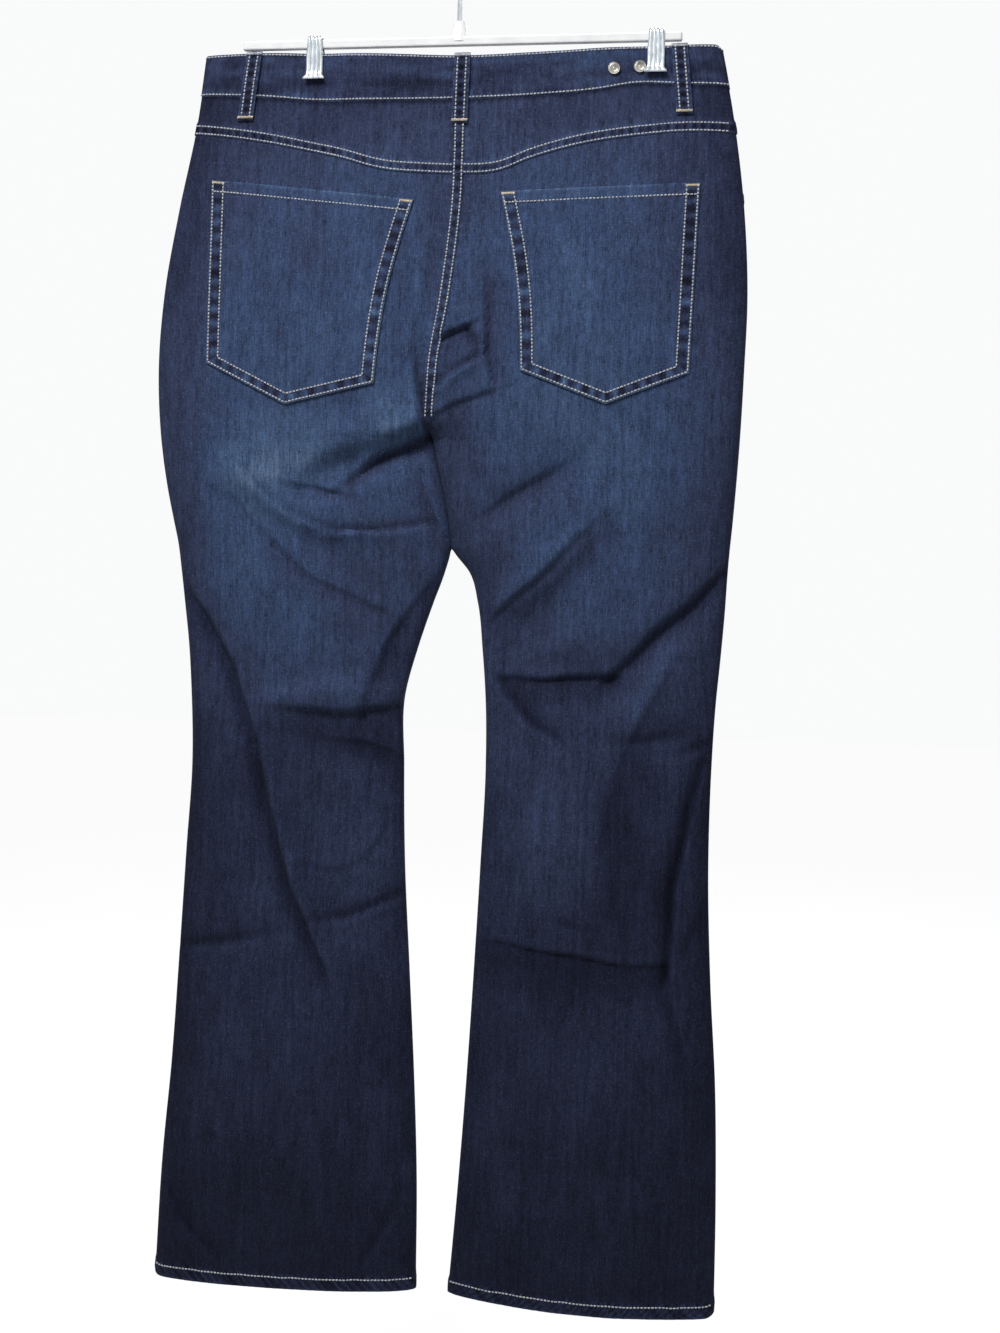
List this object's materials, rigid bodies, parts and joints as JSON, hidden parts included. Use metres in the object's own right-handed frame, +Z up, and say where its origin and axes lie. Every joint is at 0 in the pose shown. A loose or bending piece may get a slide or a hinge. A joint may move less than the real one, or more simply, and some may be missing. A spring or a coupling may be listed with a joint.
{
  "type": "bootcut jeans on a clip hanger",
  "caption": "Dark blue denim jeans with a slight flare, hung flat by the waistband from a bar hanger with two metal spring clips.",
  "frame": {"origin": "underside of the top of the hanger's hook, where a rail carries it", "axes": "+Z up along the garment's length, -Y out of the back of the jeans, +X to the right of the back view"},
  "size_m": [0.5005, 0.0475, 1.1671],
  "materials": {
    "denim_seat": "faded blue denim twill",
    "denim_dark": "dark blue denim twill",
    "denim_band": "dark blue denim twill, several layers",
    "pewter": "antique pewter",
    "chrome": "bright plated steel",
    "white_plastic": "white moulded plastic"
  },
  "bodies": {
    "root": {"leg_back_left": "denim_seat", "leg_back_right": "denim_seat", "leg_front_left": "denim_dark", "leg_front_right": "denim_dark", "yoke_left": "denim_dark", "yoke_right": "denim_dark", "waistband": "denim_band", "pocket_back_left": "denim_seat", "pocket_back_right": "denim_seat", "pocket_facing_left": "denim_dark", "pocket_facing_right": "denim_dark", "fly_shield": "denim_dark", "belt_loop_back_left": "denim_band", "belt_loop_back_centre": "denim_band", "belt_loop_back_right": "denim_band", "belt_loop_front_left": "denim_band", "belt_loop_front_right": "denim_band", "waist_button": "pewter", "back_button_inner": "pewter", "back_button_outer": "pewter", "clip_left": "chrome", "clip_right": "chrome", "hanger_bar": "white_plastic", "hanger_hook": "chrome"}
  },
  "joints": []
}
